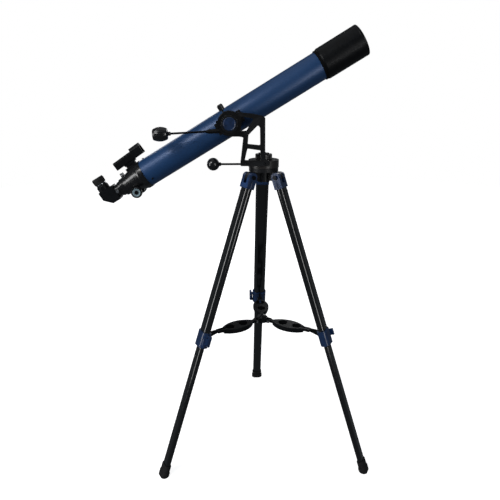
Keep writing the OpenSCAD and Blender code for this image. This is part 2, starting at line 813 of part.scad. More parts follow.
module eyepiece_body() {
  base = 42.3;
  color(coal) on_tube() translate([diag_x, 0, 0]) rotate_extrude() difference() {
    polygon([
      [0, base - 24], [socket_r - running, base - 24], [socket_r - running, base], [17.5, base], [17.5, base + 7.5],
      [20, base + 9], [20.5, base + 24], [18.5, base + 28.5], [0, base + 28.5]
    ]);
    polygon([
      [0, base - 25], [13.6, base - 25], [13.6, base + 6], [12, base + 6], [12, base + 20], [15.5, base + 29], [0, base + 29]
    ]);
  }
}

module eyepiece_lenses() {
  color(glass) on_tube() translate([diag_x, 0, 42.3]) {
    translate([0, 0, -10]) cylinder(r = 13.6, h = 5);
    translate([0, 0, 12]) cylinder(r = 12, h = 4);
  }
}

// ---------- red-dot finder ----------

// the finder's own frame: X forward, tilted a little, with its axis through the origin
module on_finder() {
  on_tube() translate([-344, 0, 72]) rotate([0, -3.5, 0]) children();
}

module finder_bracket() {
  color(black) difference() {
    union() {
      // shoe that follows the focuser's cone
      on_tube() translate([-372, -13, 30]) cube([44, 26, 15]);
      on_tube() translate([-366, -8, 44]) cube([34, 16, 11]);
      on_finder() translate([-26, -10, -19]) cube([42, 20, 5]);
    }
    on_tube() turned_x([
      [focus_end, 0], [focus_end + 14, 31], [-345, 44], [-338, 47], [-300, 47], [-300, 0]
    ]);
  }
}

module finder_body() {
  color(black) on_finder() difference() {
    union() {
      translate([0, 0, 0]) rotate([90, 0, 90]) translate([0, 0, -53]) linear_extrude(74)
        polygon(rounded([[-13, -14], [13, -14], [13, 8], [8, 13], [-8, 13], [-13, 8]], 2.5, 4));
      rotate([90, 0, 90]) translate([0, 0, 18]) linear_extrude(36)
        polygon(rounded([[-17, -15], [17, -15], [17, 12], [10, 21], [-10, 21], [-17, 12]], 3, 4));
    }
    // window tunnel
    rod_x(12, 24, 60);
    rod_x(8, -60, 30);
    translate([22, -13.5, -11.5]) cube([40, 27, 22]);
  }
}

module finder_switch() {
  color(coal) on_finder() translate([-36, 13.3, -2]) rotate([-90, 0, 0]) scalloped_knob(7, 6, 12, 1.1);
}

tripod_head();
azimuth_wheel_spindle();
leg_pivot_bolts();
leg_yoke(left);  // left_leg_yoke
upper_leg(left);  // left_upper_leg
leg_collar(left);  // left_leg_collar
lower_leg(left);  // left_lower_leg
foot(left);  // left_foot
leg_lever(left);  // left_leg_lever
leg_yoke(right);  // right_leg_yoke
upper_leg(right);  // right_upper_leg
leg_collar(right);  // right_leg_collar
lower_leg(right);  // right_lower_leg
foot(right);  // right_foot
leg_lever(right);  // right_leg_lever
leg_yoke(rear);  // rear_leg_yoke
upper_leg(rear);  // rear_upper_leg
leg_collar(rear);  // rear_leg_collar
lower_leg(rear);  // rear_lower_leg
foot(rear);  // rear_foot
leg_lever(rear);  // rear_leg_lever
tray_arm(left);  // left_tray_arm
tray_arm(right);  // right_tray_arm
tray_arm(rear);  // rear_tray_arm
tray_hub();
tray_hinge_pins();
turntable();
mount_arm();
altitude_housing();
azimuth_lock_knob();
azimuth_worm_shaft();
azimuth_knob();
altitude_worm_shaft();
altitude_knob();
altitude_clutch_knob();
clutch_knob_cap();
altitude_axle();
altitude_worm_wheel();
dovetail_saddle();
dovetail_bar();
saddle_clamp_knob();
main_tube();
tube_baffles();
objective_cell();
objective_lenses();
lens_retaining_ring();
dew_shield();
focuser_body();
drawtube();
drawtube_thumb_screws();
pinion_shaft();
focus_knobs();
focus_lock_screw();
diagonal_body();
diagonal_mirror();
eyepiece_body();
eyepiece_lenses();
finder_bracket();
finder_body();
finder_switch();
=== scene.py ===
"""Looks of a refracting telescope on a single-arm altazimuth mount and a folding tripod.

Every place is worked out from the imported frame: its joints give the axes of the tube, legs and worms,
and its nodes give the sizes. Lengths are in metres; MM turns millimetres into metres.
"""
import json
import math

import bmesh
import bpy
from mathutils import Matrix, Vector

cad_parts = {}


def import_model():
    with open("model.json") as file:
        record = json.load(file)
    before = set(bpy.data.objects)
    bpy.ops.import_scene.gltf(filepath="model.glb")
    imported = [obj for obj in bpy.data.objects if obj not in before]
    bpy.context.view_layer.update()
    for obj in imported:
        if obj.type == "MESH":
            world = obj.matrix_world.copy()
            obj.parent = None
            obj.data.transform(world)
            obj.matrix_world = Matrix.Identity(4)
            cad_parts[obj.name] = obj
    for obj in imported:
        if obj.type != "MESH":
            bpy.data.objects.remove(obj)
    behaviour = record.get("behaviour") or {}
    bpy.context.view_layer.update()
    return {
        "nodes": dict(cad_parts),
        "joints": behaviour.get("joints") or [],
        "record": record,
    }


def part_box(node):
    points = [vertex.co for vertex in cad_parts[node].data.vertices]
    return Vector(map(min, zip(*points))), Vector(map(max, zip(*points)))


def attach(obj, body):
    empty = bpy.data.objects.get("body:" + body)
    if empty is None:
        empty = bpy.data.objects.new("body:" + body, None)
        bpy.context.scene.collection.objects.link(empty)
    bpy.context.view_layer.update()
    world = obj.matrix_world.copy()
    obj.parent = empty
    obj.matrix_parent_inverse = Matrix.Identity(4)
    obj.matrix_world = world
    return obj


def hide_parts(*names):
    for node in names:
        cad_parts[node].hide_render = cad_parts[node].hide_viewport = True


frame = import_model()

MM = 0.001
NODES = frame["nodes"]
RECORD = frame["record"]
JOINTS = {joint["name"]: joint for joint in frame["joints"]}
BODY_OF = {node: body for body, nodes in RECORD["behaviour"]["bodies"].items() for node in nodes}
SIDES = ("left", "right", "rear")

WELD = 0.001 * MM  # points nearer than this are one point
EDGE_ANGLE = 33  # degrees; a sharper edge is rounded
FLAT_ANGLE = 0.6  # degrees; faces closer to each other than this are one flat
FLAT_WEIGHT = 80  # how far large faces win over small ones in the normals
ARC_STEPS = 4  # straight pieces in a turned fillet
ROD_HOLE = 3.3 * MM  # radius of the hole in the two control knobs


# ---------- frames ----------

def frame_from(origin, x_axis, y_axis):
    """A local frame with its X along x_axis and its Y as near y_axis as it can be."""
    x = Vector(x_axis).normalized()
    z = x.cross(Vector(y_axis)).normalized()
    y = z.cross(x)
    place = Matrix((x, y, z)).transposed().to_4x4()
    place.translation = Vector(origin)
    return place


def tube_frame():
    """X forward along the optical axis, Z away from the ground, origin beside the altitude axis."""
    forward = -Vector(JOINTS["focus_slide"]["axis"])
    on_axis = Vector(JOINTS["diagonal_turn"]["pos_m"])
    pivot = Vector(JOINTS["altitude_turn"]["pos_m"])
    origin = on_axis + (pivot - on_axis).dot(forward) * forward
    return frame_from(origin, forward, (0, 1, 0))


def leg_frame(side):
    """Z up the leg, Y along its pivot bolt, X outward, origin at the pivot."""
    up = Vector(JOINTS[side + "_leg_slide"]["axis"])
    bolt = Vector(JOINTS[side + "_leg_fold"]["axis"])
    return frame_from(JOINTS[side + "_leg_fold"]["pos_m"], bolt.cross(up), bolt)


def joint_frame(name):
    """X along the joint's axis, origin at its point."""
    axis = Vector(JOINTS[name]["axis"])
    other = (0, 1, 0) if abs(axis.y) < 0.9 else (1, 0, 0)
    return frame_from(JOINTS[name]["pos_m"], axis, other)


WORLD = Matrix.Identity(4)
TUBE = tube_frame()
FINDER_TILT = math.radians(3.5)
FINDER = (
    Matrix.Translation(Vector(JOINTS["finder_dial_turn"]["pos_m"]))
    @ TUBE.to_3x3().to_4x4()
    @ Matrix.Rotation(-FINDER_TILT, 4, "Y")
)
LEG = {side: leg_frame(side) for side in SIDES}
AZIMUTH_WORM = joint_frame("azimuth_worm_turn")
ALTITUDE_WORM = joint_frame("altitude_worm_turn")
CLUTCH = joint_frame("altitude_clutch_turn")
PINION = joint_frame("focus_knob_turn")


def local_box(node, place):
    """Lowest and highest corner of a CAD node in a local frame."""
    inverse = place.inverted()
    points = [inverse @ vertex.co for vertex in NODES[node].data.vertices]
    low = Vector([min(p[i] for p in points) for i in range(3)])
    high = Vector([max(p[i] for p in points) for i in range(3)])
    return low, high


# ---------- camera, light and sky ----------

CAMERA_AT = (-0.0937, -1.5841, 1.2730)
CAMERA_PITCH = 71.79  # degrees
CAMERA_YAW = -1.80  # degrees
CAMERA_LENS = 35.27  # millimetres
SENSOR = 36  # millimetres


def camera():
    """The photograph's viewing angle."""
    data = bpy.data.cameras.new("camera")
    data.sensor_width = SENSOR
    data.lens = CAMERA_LENS
    shot = bpy.data.objects.new("camera", data)
    shot.location = CAMERA_AT
    shot.rotation_euler = (math.radians(CAMERA_PITCH), 0, math.radians(CAMERA_YAW))
    bpy.context.scene.collection.objects.link(shot)
    bpy.context.scene.camera = shot


def softbox(name, at, aim, width, height, power):
    """A rectangular area light at one point, turned towards another."""
    data = bpy.data.lights.new(name, "AREA")
    data.shape = "RECTANGLE"
    data.size = width
    data.size_y = height
    data.energy = power
    lamp = bpy.data.objects.new(name, data)
    lamp.location = at
    lamp.rotation_euler = (Vector(aim) - Vector(at)).to_track_quat("-Z", "Y").to_euler()
    bpy.context.scene.collection.objects.link(lamp)


MIDDLE = (0, 0, 0.9)

# name, place, aim, width, height, power in watts
SOFTBOXES = (
    ("overhead", (0, 0.3, 4.6), (0, 0.3, 0), 4.0, 4.0, 17),
    ("key", (-2.2, -2.2, 3.3), MIDDLE, 1.4, 1.4, 54),
    ("side", (-2.9, -1.4, 1.2), MIDDLE, 0.7, 2.2, 34),
    ("fill", (1.9, -2.9, 1.2), MIDDLE, 0.6, 2.2, 26),
    ("back_left", (-1.6, 3.0, 1.5), MIDDLE, 1.4, 1.8, 20),
    ("back_right", (1.2, 3.2, 1.6), MIDDLE, 1.0, 2.0, 18),
)
SKY_TINT = (0.85, 0.92, 1, 1)
SKY_STRENGTH = 0.1


def world():
    """White to the camera, and a dim even grey to the object."""
    sky = bpy.data.worlds.new("studio")
    bpy.context.scene.world = sky
    sky.use_nodes = True
    tree = sky.node_tree
    tree.nodes.clear()
    ray = tree.nodes.new("ShaderNodeLightPath")
    grey = tree.nodes.new("ShaderNodeBackground")
    grey.inputs["Color"].default_value = SKY_TINT
    grey.inputs["Strength"].default_value = SKY_STRENGTH
    white = tree.nodes.new("ShaderNodeBackground")
    white.inputs["Color"].default_value = (1, 1, 1, 1)
    mix = tree.nodes.new("ShaderNodeMixShader")
    out = tree.nodes.new("ShaderNodeOutputWorld")
    tree.links.new(ray.outputs["Is Camera Ray"], mix.inputs["Fac"])
    tree.links.new(grey.outputs["Background"], mix.inputs[1])
    tree.links.new(white.outputs["Background"], mix.inputs[2])
    tree.links.new(mix.outputs["Shader"], out.inputs["Surface"])


# ---------- materials ----------

COLOUR_RANGE = (0.35, 0.65)  # of the noise, over which a colour changes
ROUGHNESS_RANGE = (0.3, 0.7)  # of the noise, over which a roughness changes
EDGE_RANGE = (0.53, 0.6)  # of the pointiness, over which an edge gets lighter: wear and a painted highlight


class Finish:
    """A Principled material with short calls for its procedural detail."""

    def __init__(self, name, colour, roughness, **sockets):
        self.material = bpy.data.materials.new(name)
        self.material.use_nodes = True
        self.tree = self.material.node_tree
        self.shader = self.tree.nodes["Principled BSDF"]
        self.shader.inputs["Base Color"].default_value = (*colour, 1)
        self.shader.inputs["Roughness"].default_value = roughness
        for socket, value in sockets.items():
            self.shader.inputs[socket.replace("_", " ")].default_value = value

    def noise(self, size, detail=2.0, stretch=(1, 1, 1)):
        """Noise with grains of a size, pulled out along an axis where stretch is above 1."""
        coordinates = self.tree.nodes.new("ShaderNodeTexCoord")
        mapping = self.tree.nodes.new("ShaderNodeMapping")
        mapping.inputs["Scale"].default_value = [1 / (size * s) for s in stretch]
        texture = self.tree.nodes.new("ShaderNodeTexNoise")
        texture.inputs["Scale"].default_value = 1
        texture.inputs["Detail"].default_value = detail
        self.tree.links.new(coordinates.outputs["Object"], mapping.inputs["Vector"])
        self.tree.links.new(mapping.outputs["Vector"], texture.inputs["Vector"])
        return texture.outputs["Fac"]

    def colours(self, factor, low, high):
        """Colour that runs from low to high over the middle of the factor."""
        ramp = self.tree.nodes.new("ShaderNodeValToRGB")
        ramp.color_ramp.elements[0].position = COLOUR_RANGE[0]
        ramp.color_ramp.elements[0].color = (*low, 1)
        ramp.color_ramp.elements[1].position = COLOUR_RANGE[1]
        ramp.color_ramp.elements[1].color = (*high, 1)
        self.tree.links.new(factor, ramp.inputs["Fac"])
        self.tree.links.new(ramp.outputs["Color"], self.shader.inputs["Base Color"])
        return ramp.outputs["Color"]

    def roughness(self, factor, low, high):
        """Roughness that runs from low to high over the middle of the factor."""
        spread = self.tree.nodes.new("ShaderNodeMapRange")
        spread.inputs["From Min"].default_value = ROUGHNESS_RANGE[0]
        spread.inputs["From Max"].default_value = ROUGHNESS_RANGE[1]
        spread.inputs["To Min"].default_value = low
        spread.inputs["To Max"].default_value = high
        self.tree.links.new(factor, spread.inputs["Value"])
        self.tree.links.new(spread.outputs["Result"], self.shader.inputs["Roughness"])

    def bump(self, height, distance, strength=1.0):
        """Relief of a depth, from a height between 0 and 1."""
        node = self.tree.nodes.new("ShaderNodeBump")
        node.inputs["Distance"].default_value = distance
        node.inputs["Strength"].default_value = strength
        self.tree.links.new(height, node.inputs["Height"])
        self.tree.links.new(node.outputs["Normal"], self.shader.inputs["Normal"])

    def edge_wear_and_highlight(self, base, wear_and_highlight):
        """Lightens the colour along outward edges: edge wear and a painted highlight."""
        geometry = self.tree.nodes.new("ShaderNodeNewGeometry")
        edge = self.tree.nodes.new("ShaderNodeMapRange")
        edge.inputs["From Min"].default_value = EDGE_RANGE[0]
        edge.inputs["From Max"].default_value = EDGE_RANGE[1]
        mix = self.tree.nodes.new("ShaderNodeMix")
        mix.data_type = "RGBA"
        mix.inputs["B"].default_value = (*wear_and_highlight, 1)
        self.tree.links.new(geometry.outputs["Pointiness"], edge.inputs["Value"])
        self.tree.links.new(edge.outputs["Result"], mix.inputs["Factor"])
        self.tree.links.new(base, mix.inputs["A"])
        self.tree.links.new(mix.outputs["Result"], self.shader.inputs["Base Color"])


def scaled(colour, by):
    """A colour made lighter or darker."""
    return tuple(channel * by for channel in colour)


def tube_paint():
    """Satin metallic blue paint: fine flakes under a clear coat with a faint orange peel."""
    blue = (0.0120, 0.053, 0.155)
    finish = Finish(
        "tube_paint", blue, 0.42, Metallic=0.2, Specular_IOR_Level=0.38, Coat_Weight=0.2,
        Coat_Roughness=0.3,
    )
    finish.colours(finish.noise(0.5 * MM, 3), scaled(blue, 0.82), scaled(blue, 1.2))
    finish.roughness(finish.noise(60 * MM, 2, (3, 1, 1)), 0.39, 0.47)
    finish.bump(finish.noise(1.6 * MM, 2), 0.006 * MM)
    return finish.material


def black_plastic():
    """Moulded plastic with a spark-eroded grain and lighter edges, worn and with a painted highlight.
    """
    black = (0.0022, 0.0027, 0.0036)
    finish = Finish("black_plastic", black, 0.4, Specular_IOR_Level=0.18)
    colour = finish.colours(finish.noise(14 * MM, 3), scaled(black, 0.75), scaled(black, 1.3))
    # lighter edges: wear and a painted highlight
    finish.edge_wear_and_highlight(colour, scaled(black, 3.2))
    finish.roughness(finish.noise(5 * MM, 4), 0.33, 0.48)
    finish.bump(finish.noise(0.45 * MM, 2), 0.03 * MM, 0.7)
    return finish.material


def gloss_black():
    """Smooth glossy plastic of knobs, with faint handling marks."""
    black = (0.0042, 0.0046, 0.0055)
    finish = Finish("gloss_black", black, 0.2, Coat_Weight=0.25, Coat_Roughness=0.1)
    finish.colours(finish.noise(9 * MM, 3), scaled(black, 0.75), scaled(black, 1.3))
    finish.roughness(finish.noise(7 * MM, 5), 0.16, 0.3)
    finish.bump(finish.noise(2.4 * MM, 2), 0.008 * MM, 0.6)
    return finish.material


def casting_paint():
    """Powder coat on a casting: slightly pebbled, lighter on the edges from wear and a painted
    highlight.
    """
    black = (0.0028, 0.0030, 0.0035)
    finish = Finish("casting_paint", black, 0.42, Specular_IOR_Level=0.22)
    colour = finish.colours(finish.noise(20 * MM, 4), scaled(black, 0.7), scaled(black, 1.35))
    # lighter edges: wear and a painted highlight
    finish.edge_wear_and_highlight(colour, scaled(black, 3.5))
    finish.roughness(finish.noise(3 * MM, 4), 0.34, 0.52)
    finish.bump(finish.noise(0.9 * MM, 3), 0.07 * MM, 0.8)
    return finish.material


def turntable_paint():
    """The turntable's warm grey-black moulding, its edges lighter from wear and a painted highlight."""
    dark = (0.0125, 0.0108, 0.0104)
    finish = Finish("turntable_paint", dark, 0.38, Specular_IOR_Level=0.5)
    colour = finish.colours(finish.noise(16 * MM, 4), scaled(dark, 0.7), scaled(dark, 1.4))
    # lighter edges: wear and a painted highlight
    finish.edge_wear_and_highlight(colour, scaled(dark, 3))
    finish.roughness(finish.noise(4 * MM, 4), 0.3, 0.46)
    finish.bump(finish.noise(0.7 * MM, 2), 0.05 * MM, 0.7)
    return finish.material


def leg_coating():
    """Semi-gloss coating on drawn leg tubes, with fine draw lines along the leg."""
    black = (0.0040, 0.0048, 0.0054)
    finish = Finish("leg_coating", black, 0.17, Coat_Weight=0.5, Coat_Roughness=0.08)
    finish.colours(finish.noise(2.5 * MM, 3, (1, 1, 60)), scaled(black, 0.7), scaled(black, 1.35))
    finish.roughness(finish.noise(1.2 * MM, 2, (1, 1, 80)), 0.13, 0.2)
    finish.bump(finish.noise(0.8 * MM, 2, (1, 1, 90)), 0.012 * MM, 0.8)
    return finish.material


def blue_plastic():
    """Deep blue moulded plastic with lighter edges, rubbed and with a painted highlight."""
    blue = (0.0065, 0.0215, 0.0670)
    finish = Finish("blue_plastic", blue, 0.3, Coat_Weight=0.12, Coat_Roughness=0.15)
    colour = finish.colours(finish.noise(12 * MM, 3), scaled(blue, 0.72), scaled(blue, 1.3))
    # lighter edges: wear and a painted highlight
    finish.edge_wear_and_highlight(colour, scaled(blue, 2.6))
    finish.roughness(finish.noise(9 * MM, 2), 0.27, 0.33)
    finish.bump(finish.noise(0.6 * MM, 2), 0.008 * MM, 0.6)
    return finish.material


def soft_rubber():
    """Matt rubber with a dusty bloom."""
    black = (0.0075, 0.0075, 0.0080)
    finish = Finish("soft_rubber", black, 0.78, Specular_IOR_Level=0.3)
    finish.colours(finish.noise(6 * MM, 5), scaled(black, 0.6), scaled(black, 2.0))
    finish.roughness(finish.noise(3 * MM, 3), 0.66, 0.9)
    finish.bump(finish.noise(0.5 * MM, 3), 0.06 * MM, 0.8)
    return finish.material


def flat_black():
    """The anti-reflection black inside the tube and on the baffles."""
    black = (0.0030, 0.0030, 0.0032)
    finish = Finish("flat_black", black, 0.95, Specular_IOR_Level=0.12)
    finish.colours(finish.noise(2 * MM, 4), scaled(black, 0.6), scaled(black, 1.6))
    finish.bump(finish.noise(0.7 * MM, 4), 0.12 * MM)
    return finish.material


def turned_metal(name, colour, rough_low, rough_high, grain):
    """Bare metal with tool marks about the X axis of its frame."""
    finish = Finish(name, colour, rough_low, Metallic=1.0)
    finish.colours(finish.noise(grain, 3, (1, 30, 30)), scaled(colour, 0.82), scaled(colour, 1.0))
    finish.roughness(finish.noise(3 * grain, 4), rough_low, rough_high)
    finish.bump(finish.noise(grain, 2, (1, 40, 40)), 0.02 * MM, 0.5)
    return finish.material


def coated_glass():
    """Optical glass with a blue-green anti-reflection coating."""
    finish = Finish(
        "coated_glass", (0.86, 0.96, 0.95), 0.02, Transmission_Weight=1.0, IOR=1.52,
        Coat_Weight=0.6, Coat_Roughness=0.03,
    )
    finish.shader.inputs["Coat Tint"].default_value = (0.55, 0.8, 1.0, 1)
    finish.colours(finish.noise(25 * MM, 2), (0.80, 0.94, 0.90), (0.88, 0.97, 0.97))
    finish.roughness(finish.noise(4 * MM, 5), 0.01, 0.04)
    return finish.material


def amber_glass():
    """The finder's red-reflecting window."""
    finish = Finish(
        "amber_glass", (0.9, 0.5, 0.3), 0.05, Transmission_Weight=0.8, IOR=1.5,
        Coat_Weight=0.7, Coat_Roughness=0.05,
    )
    finish.colours(finish.noise(10 * MM, 3), (0.72, 0.30, 0.16), (0.85, 0.45, 0.25))
    finish.roughness(finish.noise(2 * MM, 5), 0.03, 0.09)
    return finish.material


def mirror_silver():
    """Front-silvered mirror."""
    finish = Finish("mirror_silver", (0.92, 0.92, 0.94), 0.02, Metallic=1.0)
    finish.colours(finish.noise(8 * MM, 3), (0.88, 0.89, 0.92), (0.94, 0.94, 0.95))
    finish.roughness(finish.noise(5 * MM, 4), 0.01, 0.05)
    return finish.material


# painted glow of the floor: emission strength against the distance from the tripod's middle in metres,
# weakest near the tripod
FLOOR_GLOW = {"From Min": 0.3, "From Max": 2.2, "To Min": 0.72, "To Max": 1.0}


def floor_paper():
    """Pale studio paper with a painted glow: weaker near the tripod, a painted shade round it, and
    white further away.
    """
    finish = Finish("floor_paper", (0.93, 0.93, 0.93), 0.9, Specular_IOR_Level=0.1)
    finish.shader.inputs["Emission Color"].default_value = (1, 1, 1, 1)
    finish.colours(finish.noise(60 * MM, 3), (0.92, 0.92, 0.925), (0.94, 0.94, 0.94))
    # painted glow that grows with the distance from the tripod, leaving painted shade near it
    coordinates = finish.tree.nodes.new("ShaderNodeTexCoord")
    distance = finish.tree.nodes.new("ShaderNodeVectorMath")
    distance.operation = "LENGTH"
    glow = finish.tree.nodes.new("ShaderNodeMapRange")
    for socket, value in FLOOR_GLOW.items():
        glow.inputs[socket].default_value = value
    finish.tree.links.new(coordinates.outputs["Object"], distance.inputs[0])
    finish.tree.links.new(distance.outputs["Value"], glow.inputs["Value"])
    finish.tree.links.new(glow.outputs["Result"], finish.shader.inputs["Emission Strength"])
    return finish.material


MATERIALS = {
    "tube": tube_paint(),
    "plastic": black_plastic(),
    "gloss": gloss_black(),
    "casting": casting_paint(),
    "turntable": turntable_paint(),
    "leg": leg_coating(),
    "blue": blue_plastic(),
    "rubber": soft_rubber(),
    "flat": flat_black(),
    "steel": turned_metal("turned_steel", (0.42, 0.43, 0.45), 0.22, 0.38, 0.5 * MM),
    "black_steel": turned_metal("blackened_steel", (0.020, 0.021, 0.024), 0.24, 0.4, 0.5 * MM),
    "chrome": turned_metal("polished_chrome", (0.60, 0.62, 0.64), 0.08, 0.18, 0.8 * MM),
    "teal": turned_metal("teal_disc", (0.42, 0.56, 0.62), 0.40, 0.52, 0.4 * MM),
    "brass": turned_metal("turned_brass", (0.62, 0.44, 0.16), 0.25, 0.4, 0.5 * MM),
    "glass": coated_glass(),
    "amber": amber_glass(),
    "mirror": mirror_silver(),
}


# ---------- mesh tools ----------

def new_piece(name, mesh, place, body, materials, stands_for=()):
    """Puts a mesh made in a local frame into the scene, on a body."""
    for key in materials:
        mesh.materials.append(MATERIALS[key])
    mesh.shade_smooth()
    piece = bpy.data.objects.new(name, mesh)
    piece.matrix_world = place
    bpy.context.scene.collection.objects.link(piece)
    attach(piece, body)
    if stands_for:
        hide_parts(*stands_for)
    return piece


def finished(name, bm):
    """Welds a bmesh, turns its faces outward and makes a mesh of it."""
    bmesh.ops.remove_doubles(bm, verts=bm.verts, dist=WELD)
    bmesh.ops.recalc_face_normals(bm, faces=bm.faces)
    mesh = bpy.data.meshes.new(name)
    bm.to_mesh(mesh)
    bm.free()
    return mesh


def keep_flats(piece):
    """Keeps a piece's flats flat next to its rounded edges."""
    weights = piece.modifiers.new("flats", "WEIGHTED_NORMAL")
    weights.keep_sharp = False
    weights.weight = FLAT_WEIGHT


def rounded_edges(piece, radius):
    """Rounds a piece's edges and keeps its flats flat."""
    bevel = piece.modifiers.new("edges", "BEVEL")
    bevel.width = radius
    bevel.segments = 2
    bevel.limit_method = "ANGLE"
    bevel.angle_limit = math.radians(EDGE_ANGLE)
    bevel.use_clamp_overlap = True
    keep_flats(piece)


def refined(node, place, material, radius):
    """A CAD node's own shape, welded, with rounded edges and its finish."""
    bm = bmesh.new()
    bm.from_mesh(NODES[node].data)
    bm.transform(place.inverted())
    bmesh.ops.remove_doubles(bm, verts=bm.verts, dist=WELD)
    bmesh.ops.dissolve_limit(bm, angle_limit=math.radians(FLAT_ANGLE), verts=bm.verts, edges=bm.edges)
    mesh = bpy.data.meshes.new(node + "_finished")
    bm.to_mesh(mesh)
    bm.free()
    piece = new_piece(
        node + "_finished", mesh, place, BODY_OF[node], [material], [node]
    )
    rounded_edges(piece, radius * MM)
    return piece


def in_mm(points):
    """Points given in millimetres, in metres."""
    return [tuple(value * MM for value in point) for point in points]


def filleted(points, steps=ARC_STEPS):
    """A closed outline of (x, radius, fillet) points with each corner replaced by an arc."""
    outline = []
    for i, (x, r, fillet) in enumerate(points):
        corner = Vector((x, r))
        if fillet == 0:
            outline.append(corner)
            continue
        back = (Vector(points[i - 1][:2]) - corner).normalized()
        on = (Vector(points[(i + 1) % len(points)][:2]) - corner).normalized()
        half = math.acos(max(-1, min(1, back.dot(on)))) / 2
        start = corner + back * fillet / math.tan(half)
        end = corner + on * fillet / math.tan(half)
        centre = corner + (back + on).normalized() * fillet / math.sin(half)
        first = (start - centre).to_3d()
        turn = first.rotation_difference((end - centre).to_3d())
        for k in range(steps + 1):
            step = first.copy()
            step.rotate(Matrix.Identity(3).to_quaternion().slerp(turn, k / steps))
            outline.append(centre + step.to_2d())
    return outline


def lathe(name, outline, segments=128, shape=None, inside_from=None):
    """A mesh turned about X from a closed outline of (x, radius) points.

    shape(x, radius, angle) may change the radius; faces whose outline edge starts at or after
    inside_from take the second material.
    """
    bm = bmesh.new()
    rings = []
    for k in range(segments):
        angle = 2 * math.pi * k / segments
        ring = []
        for x, r in outline:
            radius = shape(x, r, angle) if shape else r
            ring.append(bm.verts.new((x, radius * math.sin(angle), radius * math.cos(angle))))
        rings.append(ring)
    for k in range(segments):
        here, there = rings[k], rings[(k + 1) % segments]
        for i in range(len(outline)):
            j = (i + 1) % len(outline)
            face = bm.faces.new((here[i], here[j], there[j], there[i]))
            if inside_from is not None and i >= inside_from:
                face.material_index = 1
    return finished(name, bm)


def turned_piece(name, points, place, body, slot, materials, stands_for=(), **options):
    """A piece turned about X from an outline with fillets."""
    mesh = lathe(name, filleted(points), **options)
    piece = new_piece(name, mesh, place, body, materials, stands_for)
    keep_flats(piece)
    return piece


def hexagon(r, angle):
    """Distance from the middle to the side of a hexagon whose corners are at r."""
    sixth = math.pi / 3
    return r * math.cos(sixth / 2) / math.cos((angle % sixth) - sixth / 2)


def socket_screw(name, place, body, r, height):
    """A round-headed screw with a hexagonal socket; its head stands on x = 0."""
    socket = 0.5 * r
    points = [
        (-0.3 * height, 0, 0), (-0.3 * height, r, 0), (height, r, 0.28 * height), (height, socket, 0),
        (0.35 * height, socket, 0), (0.35 * height, 0, 0),
    ]

    def shape(x, radius, angle):
        return hexagon(radius, angle) if abs(radius - socket) < 10 * WELD else radius

    turned_piece(name, points, place, body, "steel", ["black_steel"], segments=48, shape=shape)


def looking(place, point, direction):
    """A frame at a point of another frame, its X along a direction of that frame."""
    other = (0, 1, 0) if abs(direction[1]) < 0.9 else (0, 0, 1)
    return place @ frame_from(point, direction, other)


# ---------- CAD nodes kept in shape ----------

# node: (local frame, material, edge radius in millimetres)
KEPT = {
    "tripod_head": (WORLD, "casting", 1.0),
    "azimuth_wheel_spindle": (WORLD, "steel", 0.2),
    "leg_pivot_bolts": (WORLD, "black_steel", 0.6),
    "tray_hub": (WORLD, "plastic", 0.6),
    "tray_hinge_pins": (WORLD, "steel", 0.3),
    "turntable": (WORLD, "turntable", 1.4),
    "mount_arm": (WORLD, "casting", 1.5),
    "altitude_housing": (CLUTCH, "casting", 1.0),
    "azimuth_lock_knob": (WORLD, "turntable", 0.8),
    "azimuth_worm_shaft": (AZIMUTH_WORM, "black_steel", 0.2),
    "altitude_worm_shaft": (ALTITUDE_WORM, "black_steel", 0.2),
    "altitude_clutch_knob": (CLUTCH, "gloss", 0.6),
    "altitude_axle": (CLUTCH, "steel", 0.4),
    "altitude_worm_wheel": (CLUTCH, "brass", 0.1),
    "dovetail_saddle": (TUBE, "casting", 1.2),
    "dovetail_bar": (TUBE, "casting", 0.8),
    "saddle_clamp_knob": (TUBE, "gloss", 0.6),
    "tube_baffles": (TUBE, "flat", 0.1),
    "objective_cell": (TUBE, "flat", 0.4),
    "lens_retaining_ring": (TUBE, "flat", 0.3),
    "focuser_body": (TUBE, "gloss", 0.8),
    "drawtube": (TUBE, "gloss", 0.15),
    "drawtube_thumb_screws": (TUBE, "chrome", 0.3),
    "pinion_shaft": (PINION, "steel", 0.1),
    "focus_lock_screw": (TUBE, "chrome", 0.4),
    "diagonal_body": (TUBE, "plastic", 1.0),
    "diagonal_mirror": (TUBE, "mirror", 0.3),
    "finder_bracket": (TUBE, "plastic", 1.0),
    "finder_body": (FINDER, "plastic", 1.0),
    "finder_switch": (FINDER, "plastic", 0.4),
}
for side in SIDES:
    KEPT[side + "_leg_yoke"] = (LEG[side], "blue", 1.2)
    KEPT[side + "_upper_leg"] = (LEG[side], "leg", 0.4)
    KEPT[side + "_leg_collar"] = (LEG[side], "blue", 1.2)
    KEPT[side + "_lower_leg"] = (LEG[side], "leg", 0.4)
    KEPT[side + "_foot"] = (LEG[side], "rubber", 1.2)
    KEPT[side + "_leg_lever"] = (LEG[side], "blue", 0.8)
    KEPT[side + "_tray_arm"] = (joint_frame(side + "_tray_hinge"), "plastic", 0.8)


def painted(piece, material, belongs):
    """Gives a second material to the faces for whose middle belongs returns True."""
    piece.data.materials.append(MATERIALS[material])
    for face in piece.data.polygons:
        if belongs(face.center):
            face.material_index = 1


def black_lug(side):
    """Blackens the near side of a leg collar's lug."""
    lug_step = 4.2 * MM
    collar_back = -local_box(side + "_upper_leg", LEG[side])[1].x - lug_step
    collar = bpy.data.objects[side + "_leg_collar_finished"]
    painted(collar, "plastic", lambda middle: middle.x < collar_back)


# ---------- optical tube ----------

